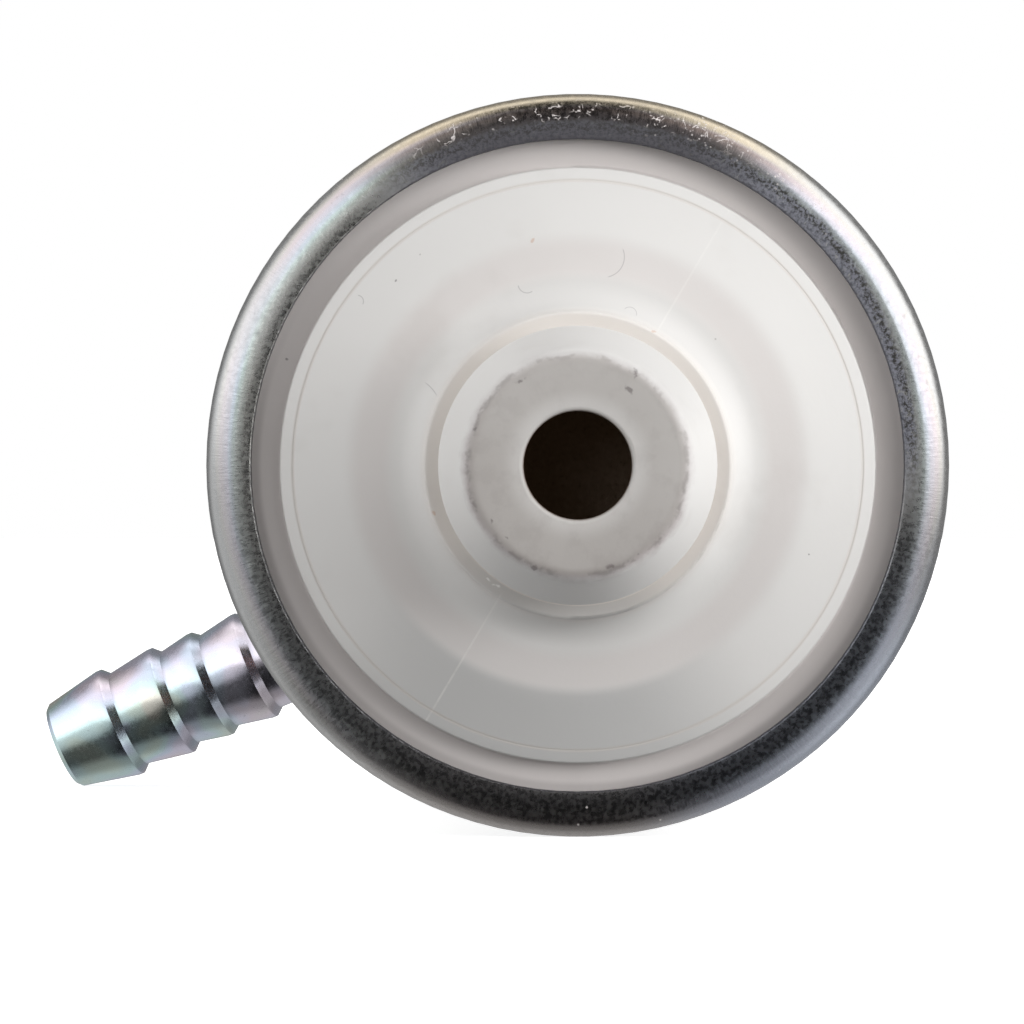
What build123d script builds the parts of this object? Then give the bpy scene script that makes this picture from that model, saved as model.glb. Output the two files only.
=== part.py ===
from build123d import *
from math import cos, sin, pi, radians, sqrt
import os

os.makedirs("parts", exist_ok=True)

# In-line electric fuel pump, lying on its side.
# Pump axis along Y: inlet end towards -Y, outlet end towards +Y, +Z up.
# Origin: centre of the casing's cylindrical land, on the pump axis. Millimetres.

# ---------------------------------------------------------------- driving sizes
casing_r = 26.0            # outside radius of the casing
casing_wall = 1.4
half_len = 50.0            # origin to the crest of each rolled lip
lip_inner_r = 22.80        # cut edge of the rolled lip
lip_corner_r = 2.0         # outside bend of the rolled lip
lip_fall = 0.38            # the lip's face leans back by this much towards the bend
play = 0.05                # gap between a stacked piece and the casing bore

bore_r = casing_r - casing_wall          # 24.6
stack_r = bore_r - play                  # 24.55
y_front = -half_len + casing_wall        # -48.6, underside of the front lip
y_rear = half_len - casing_wall          # +48.6, underside of the rear lip

# axial stack inside the casing
y_intake = -44.0           # back of the inlet cover, front of the intake plate
y_ring = -38.0             # intake plate to pump ring
y_disch = -31.0            # pump ring to discharge plate
y_motor = -24.0            # discharge plate to flux ring
y_cover = 23.0             # flux ring to outlet cover
y_floor = 41.0             # inside face of the outlet cover's end wall
y_plateau = 49.6           # outside face of the outlet cover's end wall

# inlet spigot
spigot_bore_r = 3.70
spigot_h = 17.0            # tip face above the lip crest
barb_crest_r = 9.62

# rotor set: 6-lobe inner rotor in a 7-lobe outer rotor
lobes = 7
rotor_e = 1.5              # offset of the outer rotor, towards +Z
lobe_pitch_r = 13.2
lobe_r = 3.2
outer_rotor_r = 17.0
rotor_gap = 0.04

shaft_r = 3.0

# outlet fitting
eye_x, eye_z = -4.21, -6.871
eye_y = 64.5
eye_r = 9.5
eye_half = 6.0
tail_len = 41.16           # eye centre to the tip of the hose tail
tail_down = 23.0           # degrees below the horizontal
tail_back = 8.0            # degrees away from the inlet end
thread_r = 6.0             # M12 outlet thread

# terminals
stud_a = (12.5, 9.1)       # M5 stud, x and z
stud_b = (0.0, 15.5)       # M4 stud

brush_x = 8.55


# ---------------------------------------------------------------- helpers
def slab(sketch, y0, y1):
    """Prism of a sketch drawn in (x, z), from y0 up to y1."""
    plane = Plane(origin=(0, y1, 0), x_dir=(1, 0, 0), z_dir=(0, -1, 0))
    return extrude(plane * sketch, amount=y1 - y0)


def rod(radius, y0, y1, x=0.0, z=0.0):
    return slab(Pos(x, z) * Circle(radius), y0, y1)


def turned(points):
    """Solid of revolution about Y. A point is (radius, y) or (radius, y, corner radius)."""
    outline = make_face(Polyline(*[(p[0], p[1]) for p in points], close=True))
    for p in points:
        if len(p) == 3:
            corner = [v for v in outline.vertices()
                      if abs(v.X - p[0]) < 1e-5 and abs(v.Y - p[1]) < 1e-5]
            outline = fillet(corner, p[2])
    return revolve(outline, Axis.Y)


def spring(mean_r, wire_r, y0, y1, turns, x=0.0, z=0.0):
    """Coil spring along Y whose wire surface runs from y0 to y1."""
    low, high = y0 + wire_r, y1 - wire_r
    path = Helix(pitch=(high - low) / turns, height=high - low, radius=mean_r,
                 center=(x, low, z), direction=(0, 1, 0))
    start = path @ 0
    wire = Plane(origin=start, z_dir=path % 0) * Circle(wire_r)
    return sweep(wire, path=path, is_frenet=True)


def hexagon(flats):
    return RegularPolygon(flats / sqrt(3), 6)


def hex_nut(flats, hole, y0, y1, x, z, turn=0.0):
    """Hexagon nut with chamfered corners on both faces."""
    body = slab(Pos(x, z) * Rot(0, 0, turn) * hexagon(flats), y0, y1)
    h = y1 - y0
    drop = flats * 0.077
    cone = turned([(0, 0), (flats * 0.47, 0), (flats * 0.47 + drop * 1.73, drop),
                   (flats * 0.47 + drop * 1.73, h - drop), (flats * 0.47, h), (0, h)])
    body = body & (Pos(x, y0, z) * cone)
    return body - rod(hole, y0 - 1, y1 + 1, x, z)


nodes = {}

# ---------------------------------------------------------------- casing
nodes["casing_tube"] = turned([
    (lip_inner_r, y_front), (bore_r, y_front),
    (bore_r, y_rear), (lip_inner_r, y_rear),
    (lip_inner_r, half_len, 0.15), (lip_inner_r + 1.0, half_len, 5.0),
    (casing_r, half_len - lip_fall, lip_corner_r),
    (casing_r, -half_len + lip_fall, lip_corner_r),
    (lip_inner_r + 1.0, -half_len, 5.0), (lip_inner_r, -half_len, 0.15),
])

# ---------------------------------------------------------------- inlet cover
def hy(h):
    return -half_len - h


cone_slope = 0.4075
wit_r = 19.9


def cone_h(r):
    return 1.896 - (r - 16.05) * cone_slope


nodes["inlet_cover"] = turned([
    (spigot_bore_r, hy(spigot_h), 0.35),
    (7.85, hy(spigot_h), 1.1),
    (barb_crest_r, hy(9.9)),
    (barb_crest_r, hy(8.9), 0.12),
    (8.2, hy(8.3), 0.2),
    (8.2, hy(5.5), 0.3),
    (10.68, hy(5.5), 0.25),
    (10.95, hy(2.917), 2.5),
    (16.05, hy(1.896), 6.0),
    (wit_r - 0.09, hy(cone_h(wit_r - 0.09))),
    (wit_r, hy(cone_h(wit_r) - 0.09)),
    (wit_r + 0.09, hy(cone_h(wit_r + 0.09))),
    (20.80, hy(-0.04), 0.22),
    (20.80, y_front, 0.2),
    (stack_r, y_front, 0.25),
    (stack_r, -47.4), (22.9, -47.4, 0.2), (22.9, -45.4, 0.2), (stack_r, -45.4),
    (stack_r, y_intake),
    (19.5, y_intake),
    (19.5, -47.3, 1.2),
    (11.5, -51.3),
    (7.6, -53.2, 1.5),
    (spigot_bore_r, -57.0, 2.0),
])

nodes["inlet_seal"] = turned([
    (22.93, -47.33, 0.7), (24.52, -47.33, 0.7), (24.52, -45.47, 0.7), (22.93, -45.47, 0.7)])

# ---------------------------------------------------------------- pump plates
relief_x, relief_z = 0.0, -20.3
relief_bore_r = 2.5
screw_at = [(21.2 * cos(radians(a)), 21.2 * sin(radians(a))) for a in (45, 135, 225, 315)]

port_in = SlotArc(CenterArc((0, 0), 10.75, 112, 136), 4.1)
port_out = SlotArc(CenterArc((0, 0), 10.75, -68, 136), 4.1)

intake = rod(stack_r, y_intake, y_ring)
intake -= slab(port_in, y_intake - 1, y_ring + 1)
intake -= rod(2.54, y_ring - 4.0, y_ring + 1)
intake -= rod(relief_bore_r, y_intake - 1, y_ring + 1, relief_x, relief_z)
for sx, sz in screw_at:
    intake -= rod(1.55, y_intake - 1, y_ring + 1, sx, sz)
    intake -= rod(2.9, y_intake - 1, y_intake + 3.1, sx, sz)
nodes["intake_plate"] = intake

ring = rod(stack_r, y_ring, y_disch) - rod(outer_rotor_r + 0.05, y_ring - 1, y_disch + 1, 0, rotor_e)
ring -= rod(relief_bore_r, y_ring - 1, y_disch + 1, relief_x, relief_z)
for sx, sz in screw_at:
    ring -= rod(1.55, y_ring - 1, y_disch + 1, sx, sz)
nodes["pump_ring"] = ring

bush_r = 4.6
disch = rod(stack_r, y_disch, y_motor) - rod(bush_r, y_disch - 1, y_motor + 1)
disch -= slab(port_out, y_disch - 1, y_motor + 1)
disch -= rod(relief_bore_r, y_disch - 1, y_motor - 2.0, relief_x, relief_z)
disch -= rod(1.2, y_motor - 3, y_motor + 1, relief_x, relief_z)
for sx, sz in screw_at:
    disch -= rod(1.55, y_disch - 1, y_motor - 1.2, sx, sz)
nodes["discharge_plate"] = disch

nodes["front_bush"] = (rod(bush_r - 0.02, -30.7, -24.3) - rod(shaft_r + 0.04, -32, -23))

screws = []
for sx, sz in screw_at:
    head = rod(2.75, y_intake + 0.1, y_intake + 3.1, sx, sz)
    head -= slab(Pos(sx, sz) * hexagon(2.5), y_intake, y_intake + 1.6)
    screws.append(head + rod(1.5, y_intake + 3.1, -26.0, sx, sz))
nodes["pump_screws"] = Compound(children=[s.solids()[0] for s in screws])

# ---------------------------------------------------------------- rotor set
def trochoid(phi, off):
    """Inner rotor outline: the parallel curve, at off, inside the lobe centres' path."""
    n = lobes
    x = lobe_pitch_r * cos(phi) + rotor_e * cos(n * phi)
    y = lobe_pitch_r * sin(phi) + rotor_e * sin(n * phi)
    dx = -lobe_pitch_r * sin(phi) - rotor_e * n * sin(n * phi)
    dy = lobe_pitch_r * cos(phi) + rotor_e * n * cos(n * phi)
    m = sqrt(dx * dx + dy * dy)
    return (x - off * dy / m, y + off * dx / m)


steps = 24 * (lobes - 1)
outline = [trochoid(2 * pi * k / steps, lobe_r + rotor_gap) for k in range(steps)]
# turned a quarter so that one tip points along +Z, the side of the outer rotor's offset
outline = [(-b, a) for a, b in outline]
inner = make_face(Spline(*outline, periodic=True))
double_d = Circle(shaft_r + 0.03) & Rectangle(2 * 2.53, 10)
inner -= double_d
nodes["inner_rotor"] = slab(inner, y_ring + 0.03, y_disch - 0.03)

hole = Circle(lobe_pitch_r - lobe_r + 2 * rotor_e + 0.05)
for k in range(lobes):
    a = pi / 2 + 2 * pi * k / lobes
    hole -= Pos(lobe_pitch_r * cos(a), lobe_pitch_r * sin(a)) * Circle(lobe_r)
outer = Circle(outer_rotor_r) - hole
nodes["outer_rotor"] = slab(Pos(0, rotor_e) * outer, y_ring + 0.03, y_disch - 0.03)

# ---------------------------------------------------------------- relief valve
relief_ball_r = 2.2
relief_ball_y = (y_motor - 2.0) - sqrt(relief_ball_r ** 2 - 1.2 ** 2) - 0.01
nodes["relief_ball"] = Pos(relief_x, relief_ball_y, relief_z) * Sphere(relief_ball_r)
nodes["relief_spring"] = spring(1.55, 0.22, -42.3, relief_ball_y - 1.62, 6.5, relief_x, relief_z)
nodes["relief_spring_stop"] = (rod(relief_bore_r - 0.01, -43.2, -42.4, relief_x, relief_z)
                               - rod(1.2, -44, -42, relief_x, relief_z))

# ---------------------------------------------------------------- stator
flux = rod(stack_r, y_motor, y_cover) - rod(22.6, y_motor - 1, y_cover + 1)
flux -= slab(Pos(0, 23.6) * Rectangle(0.8, 4), y_motor - 1, y_cover + 1)
nodes["flux_ring"] = flux

mag_in, mag_out = 16.3, 22.55
mag_y0, mag_y1 = -19.0, 16.0
half_arc = 65.0


def wedge(r, a0, a1):
    """Pie slice from angle a0 to a1, in degrees, well past radius r."""
    pts = [(0, 0)] + [(r * 1.6 * cos(radians(a)), r * 1.6 * sin(radians(a)))
                      for a in [a0 + (a1 - a0) * k / 6 for k in range(7)]]
    return make_face(Polyline(*pts, close=True))


arc_face = (Circle(mag_out) - Circle(mag_in)) & wedge(mag_out, -half_arc, half_arc)
magnet = slab(arc_face, mag_y0, mag_y1)
magnet = chamfer(magnet.edges().filter_by(Axis.Y), 0.5)
nodes["magnet_right"] = magnet
nodes["magnet_left"] = Rot(0, 180, 0) * magnet

# spring clips in the two gaps between the magnets: a bow with a leg on each magnet
clip_half = 90 - half_arc
bow = (Circle(22.5) - Circle(22.0)) & wedge(22.5, 90 - clip_half + 1.3, 90 + clip_half - 1.3)
clip = bow
for side in (1, -1):
    a = 90 + side * (clip_half - 1.3)
    leg = Pos(20.35 * cos(radians(a)), 20.35 * sin(radians(a))) * Rot(0, 0, a) * Rectangle(4.0, 0.5)
    clip += Rot(0, 0, side * 0.0) * leg
clip_solid = slab(clip, mag_y0 + 1, mag_y1 - 1)
nodes["magnet_clip_top"] = clip_solid
nodes["magnet_clip_bottom"] = Rot(0, 180, 0) * clip_solid

# ---------------------------------------------------------------- armature
core_y0, core_y1 = -14.0, 11.0
slots = 8
slot_shape = [(7.2, -0.8), (13.3, -3.0), (14.1, -1.0), (17.0, -1.0),
              (17.0, 1.0), (14.1, 1.0), (13.3, 3.0), (7.2, 0.8)]
coil_shape = [(7.9, -0.45), (12.9, -2.35), (12.9, 2.35), (7.9, 0.45)]


def around(shape, count, offset):
    out = None
    for k in range(count):
        piece = Rot(0, 0, offset + 360.0 * k / count) * make_face(Polyline(*shape, close=True))
        out = piece if out is None else out + piece
    return out


slot_faces = around(slot_shape, slots, 22.5)
core_r = 15.5
core_face = Circle(core_r) - slot_faces - Circle(shaft_r + 0.02)
nodes["armature_core"] = slab(core_face, core_y0, core_y1)
ins_face = Circle(core_r - 0.3) - slot_faces - Circle(5.0)
nodes["front_insulator"] = slab(ins_face, core_y0 - 0.8, core_y0)
nodes["rear_insulator"] = slab(ins_face, core_y1, core_y1 + 0.8)

coil_faces = around(coil_shape, slots, 22.5)
winding = slab(coil_faces, core_y0 - 1.2, core_y1 + 1.2)
winding += turned([(5.6, core_y0 - 5.6, 1.2), (13.4, core_y0 - 5.6, 2.2),
                   (13.4, core_y0 - 0.8), (5.6, core_y0 - 0.8)])
winding += turned([(5.6, core_y1 + 0.8), (13.4, core_y1 + 0.8),
                   (13.4, core_y1 + 5.4, 2.2), (5.6, core_y1 + 5.4, 1.2)])
nodes["winding"] = winding

shaft = rod(2.5, -41.5, y_ring) + rod(shaft_r, y_disch, 33.5)
shaft += slab(Circle(shaft_r) & Rectangle(5.0, 10), y_ring, y_disch)
nodes["shaft"] = shaft

nodes["spacer_sleeve"] = rod(4.2, -23.5, core_y0) - rod(shaft_r + 0.02, -25, core_y0 + 1)
nodes["front_thrust_washer"] = rod(4.4, -24.1, -23.5) - rod(shaft_r + 0.03, -25, -23)

hub = rod(11.6, 18.0, 21.8) + rod(3.9, 16.9, 26.5)
nodes["commutator_hub"] = hub - rod(shaft_r + 0.02, 16, 27)
seg_faces = Circle(11.8) - Circle(4.1)
for k in range(slots):
    a = radians(45.0 * k)
    seg_faces -= Pos(8 * cos(a), 8 * sin(a)) * Rot(0, 0, 45.0 * k) * Rectangle(9.2, 0.6)
segments = slab(seg_faces, 21.8, 24.5)
for k in range(slots):
    a = radians(22.5 + 45.0 * k)
    tang = Pos(12.2 * cos(a), 12.2 * sin(a)) * Rot(0, 0, 22.5 + 45.0 * k) * Rectangle(1.6, 1.4)
    segments += slab(tang, 21.8, 23.0)
nodes["commutator_segments"] = segments
nodes["rear_thrust_washer"] = rod(4.0, 26.5, 27.3) - rod(shaft_r + 0.03, 26, 28)
nodes["rear_bush"] = rod(4.18, 27.5, 34.4) - rod(shaft_r + 0.04, 27, 35)

# ---------------------------------------------------------------- brushes
brush_rad, brush_tan = 5.0, 6.0
brush_y0, brush_y1 = 24.55, 32.5
for name, side in (("right", 1), ("left", -1)):
    bx = side * brush_x
    block = slab(Pos(bx, 0) * Rectangle(brush_rad, brush_tan), brush_y0, brush_y1)
    block -= rod(1.5, brush_y1 - 0.8, brush_y1 + 1, bx, 0)
    nodes["brush_" + name] = block
    guide = slab(Pos(bx, 0) * (Rectangle(5.9, 6.9) - Rectangle(5.1, 6.1)), 25.6, 38.0)
    guide -= slab(Pos(bx, 3.25) * Rectangle(2.2, 1.2), 29.2, 39.0)
    nodes["brush_guide_" + name] = guide
    nodes["brush_spring_" + name] = spring(1.95, 0.22, brush_y1 + 0.05, y_floor - 0.05, 5.5, bx, 0)


# ---------------------------------------------------------------- outlet cover
cup = turned([
    (0, y_plateau), (20.6, y_plateau, 0.8), (20.6, y_rear, 0.2), (stack_r, y_rear, 0.25),
    (stack_r, 47.3), (22.9, 47.3, 0.2), (22.9, 45.3, 0.2), (stack_r, 45.3),
    (stack_r, y_cover), (21.6, y_cover), (21.6, y_floor, 1.5), (0, y_floor)])
cup += rod(5.2, 27.3, y_floor)
for side in (1, -1):
    cup += slab(Pos(side * brush_x, 0) * Rectangle(8.6, 9.6), 29.0, y_floor)
for (sx, sz), r in ((stud_a, 5.2), (stud_b, 4.8)):
    cup += rod(r, y_floor, 52.0, sx, sz)
# raised plus and minus marks beside the studs
cup += slab(Pos(18.2, 2.2) * (Rectangle(2.6, 0.7) + Rectangle(0.7, 2.6)), y_plateau, y_plateau + 0.4)
cup += slab(Pos(-7.6, 15.6) * Rectangle(2.6, 0.7), y_plateau, y_plateau + 0.4)
cup -= rod(4.2, 27.3 - 1, 34.5)
cup -= rod(shaft_r + 0.6, 34.0, 36.0)
for side in (1, -1):
    cup -= slab(Pos(side * brush_x, 0) * Rectangle(6.0, 7.0), 28.0, y_floor)
    cup -= slab(Pos(side * brush_x, 4.2) * Rectangle(3.0, 2.4), 28.0, 39.6)
for (sx, sz), r in ((stud_a, 2.5), (stud_b, 2.0)):
    cup -= rod(r + 0.05, y_floor - 1, 53, sx, sz)
    cup -= rod(r + 1.4, 50.6, 53, sx, sz)
cup -= rod(thread_r + 0.05, 42.2, y_plateau + 1, eye_x, eye_z)
cup -= rod(3.5, y_floor - 6, 43, eye_x, eye_z)
nodes["outlet_cover"] = cup

nodes["outlet_seal"] = turned([
    (22.93, 45.37, 0.7), (24.52, 45.37, 0.7), (24.52, 47.23, 0.7), (22.93, 47.23, 0.7)])

# ---------------------------------------------------------------- check valve
seat_y = 44.5
check_ball_r = 2.9
check_ball_y = seat_y + sqrt(check_ball_r ** 2 - 2.0 ** 2) + 0.01
body = rod(thread_r, 42.2, 51.1, eye_x, eye_z)
body += hex_nut(17.0, 1.0, 51.1, 57.0, eye_x, eye_z, 7.0)
body += rod(thread_r, 51.1, 80.0, eye_x, eye_z)
body -= rod(2.0, 41, 45, eye_x, eye_z)
body -= rod(3.6, seat_y, 81, eye_x, eye_z)
for turn in (0.0, 90.0):
    body -= (Pos(eye_x, eye_y, eye_z) * Rot(0, turn, 0)
             * Cylinder(1.75, 20, rotation=(0, 0, 0)))
top = [e for e in body.edges().filter_by(GeomType.CIRCLE)
       if abs(e.center().Y - 80.0) < 1e-3 and abs(e.radius - thread_r) < 1e-3]
body = chamfer(top, 0.8)
nodes["valve_body"] = body
nodes["check_ball"] = Pos(eye_x, check_ball_y, eye_z) * Sphere(check_ball_r)
nodes["check_spring"] = spring(2.1, 0.2, check_ball_y + 2.12, 56.95, 5.5, eye_x, eye_z)
nodes["check_spring_stop"] = (rod(3.59, 57.0, 58.0, eye_x, eye_z)
                              - rod(1.7, 56, 59, eye_x, eye_z))

nodes["valve_washer"] = rod(9.0, 49.6, 51.1, eye_x, eye_z) - rod(6.1, 49, 52, eye_x, eye_z)
nodes["banjo_washer_lower"] = rod(8.8, 57.0, 58.5, eye_x, eye_z) - rod(6.1, 56, 59, eye_x, eye_z)
nodes["banjo_washer_upper"] = rod(8.8, 70.5, 72.0, eye_x, eye_z) - rod(6.1, 70, 73, eye_x, eye_z)

# ---------------------------------------------------------------- banjo hose tail
down, back = radians(tail_down), radians(tail_back)
tail_dir = Vector(-cos(back) * cos(down), sin(back), -cos(back) * sin(down))
perp = (Vector(0, 1, 0) - tail_dir * tail_dir.dot(Vector(0, 1, 0))).normalized()
tail_plane = Plane(origin=(eye_x, eye_y, eye_z), x_dir=tail_dir.cross(perp), z_dir=perp)

tip_s = tail_len
crests = [5.15, 9.7, 13.2, 17.1]           # crest positions back from the tip
crest_radii = [4.55, 4.55, 4.45, 4.5]
root_r = 3.97
profile = [(0, 4.0), (4.7, 4.0), (4.7, 13.0, 1.5), (4.0, 14.6, 1.5), (4.0, tip_s - 20.5)]
for c, r in list(zip(crests, crest_radii))[::-1]:
    profile.append((root_r, tip_s - c - 0.75))
    profile.append((r, tip_s - c - 0.12))
    profile.append((r, tip_s - c + 0.28))
profile += [(3.62, tip_s - 0.35), (3.3, tip_s), (0, tip_s)]
stem = tail_plane * turned(profile)

eye = Pos(eye_x, 0, eye_z) * turned([
    (0, eye_y - eye_half), (eye_r, eye_y - eye_half, 0.9),
    (eye_r, eye_y + eye_half, 0.9), (0, eye_y + eye_half)])
banjo = eye + stem
banjo -= rod(thread_r + 0.05, eye_y - 10, eye_y + 10, eye_x, eye_z)
banjo -= rod(7.4, eye_y - 3.0, eye_y + 3.0, eye_x, eye_z)
banjo -= tail_plane * turned([(0, 3), (2.5, 3), (2.5, tip_s + 1), (0, tip_s + 1)])
nodes["outlet_banjo"] = banjo

# ---------------------------------------------------------------- cap nut
cap = hex_nut(17.0, 1.0, 72.0, 80.0, eye_x, eye_z, 21.0)
cap += rod(1.2, 72.0, 80.0, eye_x, eye_z)
cap += Pos(eye_x, 0, eye_z) * turned([
    (0, 76.0), (7.3, 76.0), (7.3, 80.0), (6.6, 82.4, 1.2), (3.2, 84.4, 2.5), (0, 84.4)])
cap -= rod(thread_r + 0.05, 71, 81.0, eye_x, eye_z)
nodes["cap_nut"] = cap

# ---------------------------------------------------------------- terminals
for tag, (sx, sz), r, flats in (("m5", stud_a, 2.5, 8.0), ("m4", stud_b, 2.0, 7.0)):
    stud = rod(3.0, 39.4, y_floor, sx, sz) + rod(r, y_floor, 65.0, sx, sz)
    end = [e for e in stud.edges().filter_by(GeomType.CIRCLE) if abs(e.center().Y - 65.0) < 1e-3]
    nodes["stud_" + tag] = chamfer(end, 0.5)
    nodes["flat_washer_" + tag] = rod(flats / 2 + 0.9, 52.0, 52.9, sx, sz) - rod(r + 0.1, 51, 54, sx, sz)
    lock = hex_nut(flats, r + 0.05, 52.9, 56.9, sx, sz, 11.0)
    free = hex_nut(flats, r + 0.05, 58.2, 62.2, sx, sz, 38.0)
    nodes["nuts_" + tag] = Compound(children=[lock.solids()[0], free.solids()[0]])
    split = rod(r + 1.5, 56.9, 58.2, sx, sz) - rod(r + 0.15, 56, 59, sx, sz)
    split -= slab(Pos(sx + r + 0.9, sz) * Rectangle(2.6, 0.4), 56, 59)
    nodes["spring_washer_" + tag] = split
seals = []
for (sx, sz), r in ((stud_a, 2.5), (stud_b, 2.0)):
    seals.append(Pos(sx, 0, sz) * turned([(r + 0.08, 50.65, 0.55), (r + 1.35, 50.65, 0.55),
                                          (r + 1.35, 51.95, 0.55), (r + 0.08, 51.95, 0.55)]))
nodes["terminal_seals"] = Compound(children=[s.solids()[0] for s in seals])

# ---------------------------------------------------------------- brush leads
lead_r = 0.55
routes = {
    "right": [(brush_x, 30.6, 3.0), (brush_x, 30.6, 6.4), (brush_x + 1.2, 34.6, 8.0),
              (12.5, 36.6, 9.1), (12.5, 39.4, 9.1)],
    "left": [(-brush_x, 30.6, 3.0), (-brush_x, 30.6, 6.6), (-7.4, 33.6, 9.8),
             (-3.4, 35.6, 13.4), (0.0, 36.6, 15.5), (0.0, 39.4, 15.5)],
}
for name, pts in routes.items():
    path = FilletPolyline(*pts, radius=1.1)
    first = (Vector(*pts[1]) - Vector(*pts[0])).normalized()
    section = Plane(origin=pts[0], z_dir=first) * Circle(lead_r)
    lead = sweep(section, path=path)
    nodes["brush_lead_" + name] = lead
    print("lead", name, round(lead.volume, 3), round(path.length * pi * lead_r ** 2, 3))

# ---------------------------------------------------------------- write
for name, shape in nodes.items():
    export_step(shape, "parts/" + name + ".step")
print(len(nodes), "nodes")
low = nodes["outlet_banjo"].bounding_box()
print("tail", round(low.min.X, 3), round(low.min.Z, 3), round(low.max.Y, 3))
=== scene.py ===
import bpy
import math
import random

import numpy as np
from mathutils import Vector, Matrix


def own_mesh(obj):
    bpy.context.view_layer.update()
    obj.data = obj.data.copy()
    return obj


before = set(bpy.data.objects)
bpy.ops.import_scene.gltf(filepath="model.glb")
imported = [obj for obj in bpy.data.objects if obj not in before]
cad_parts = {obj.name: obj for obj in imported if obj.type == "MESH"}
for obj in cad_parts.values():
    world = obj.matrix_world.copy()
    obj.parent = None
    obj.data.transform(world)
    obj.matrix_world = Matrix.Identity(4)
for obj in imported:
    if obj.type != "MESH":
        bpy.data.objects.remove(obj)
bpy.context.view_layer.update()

scene = bpy.context.scene
random.seed(7)

# ------------------------------------------------------------------ camera
cam_data = bpy.data.cameras.new("camera")
cam = bpy.data.objects.new("camera", cam_data)
scene.collection.objects.link(cam)
cam_data.sensor_width = 36.0
cam_data.lens = 371.2
cam_data.clip_start = 0.01
cam_data.clip_end = 50.0
cam.location = (0.0, -0.787, 0.0)
cam.rotation_euler = (math.radians(90.0), 0.0, 0.0)
cam_data.shift_x = -65.7 / 1024.0
cam_data.shift_y = -46.7 / 1024.0
scene.camera = cam
scene.view_settings.view_transform = "Standard"
scene.view_settings.look = "None"


# ------------------------------------------------------------------ node helpers
class Net:
    """Small helper that builds a shader node tree."""

    def __init__(self, tree):
        self.t = tree
        self.n = tree.nodes
        self.l = tree.links

    def node(self, kind, **props):
        n = self.n.new(kind)
        for k, v in props.items():
            setattr(n, k, v)
        return n

    def put(self, socket, value):
        if value is None:
            return
        if hasattr(value, "is_output"):
            self.l.new(value, socket)
        else:
            socket.default_value = value

    def math(self, op, a, b=None, c=None, clamp=False):
        n = self.node("ShaderNodeMath", operation=op, use_clamp=clamp)
        for i, v in enumerate((a, b, c)):
            if v is not None:
                self.put(n.inputs[i], v)
        return n.outputs[0]

    def ramp(self, value, a, b, lo=0.0, hi=1.0, smooth=True):
        n = self.node("ShaderNodeMapRange",
                      interpolation_type="SMOOTHSTEP" if smooth else "LINEAR", clamp=True)
        self.put(n.inputs["Value"], value)
        self.put(n.inputs["From Min"], a)
        self.put(n.inputs["From Max"], b)
        self.put(n.inputs["To Min"], lo)
        self.put(n.inputs["To Max"], hi)
        return n.outputs["Result"]

    def mix(self, fac, a, b, mode="MIX"):
        n = self.node("ShaderNodeMix", data_type="RGBA", blend_type=mode)
        self.put(n.inputs[0], fac)
        for i, v in ((6, a), (7, b)):
            if isinstance(v, (tuple, list)):
                v = (*v[:3], 1.0)
            self.put(n.inputs[i], v)
        return n.outputs[2]

    def coords(self):
        tc = self.node("ShaderNodeTexCoord")
        sep = self.node("ShaderNodeSeparateXYZ")
        self.l.new(tc.outputs["Object"], sep.inputs[0])
        return tc.outputs["Object"], sep.outputs[0], sep.outputs[1], sep.outputs[2]

    def noise(self, vec, scale, detail=3.0, rough=0.55, distortion=0.0):
        n = self.node("ShaderNodeTexNoise")
        self.put(n.inputs["Vector"], vec)
        n.inputs["Scale"].default_value = scale
        n.inputs["Detail"].default_value = detail
        n.inputs["Roughness"].default_value = rough
        n.inputs["Distortion"].default_value = distortion
        return n.outputs["Fac"]

    def voronoi(self, vec, scale, feature="F1"):
        n = self.node("ShaderNodeTexVoronoi", feature=feature)
        self.put(n.inputs["Vector"], vec)
        n.inputs["Scale"].default_value = scale
        return n.outputs["Distance"]

    def combine(self, x, y, z):
        n = self.node("ShaderNodeCombineXYZ")
        for i, v in enumerate((x, y, z)):
            self.put(n.inputs[i], v)
        return n.outputs[0]

    def bump(self, height, distance, strength=1.0, normal=None):
        n = self.node("ShaderNodeBump")
        n.inputs["Strength"].default_value = strength
        n.inputs["Distance"].default_value = distance
        self.put(n.inputs["Height"], height)
        if normal is not None:
            self.put(n.inputs["Normal"], normal)
        return n.outputs[0]

    def polar(self, x, z):
        r = self.math("SQRT", self.math("ADD", self.math("MULTIPLY", x, x), self.math("MULTIPLY", z, z)))
        return r, self.math("ARCTAN2", z, x)


def material(name):
    m = bpy.data.materials.new(name)
    m.use_nodes = True
    m.node_tree.nodes.clear()
    net = Net(m.node_tree)
    out = net.node("ShaderNodeOutputMaterial")
    bsdf = net.node("ShaderNodeBsdfPrincipled")
    net.l.new(bsdf.outputs[0], out.inputs[0])
    return m, net, bsdf


def wear(node_names, mat):
    for n in node_names:
        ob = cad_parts[n]
        ob.data.materials.clear()
        ob.data.materials.append(mat)


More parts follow.
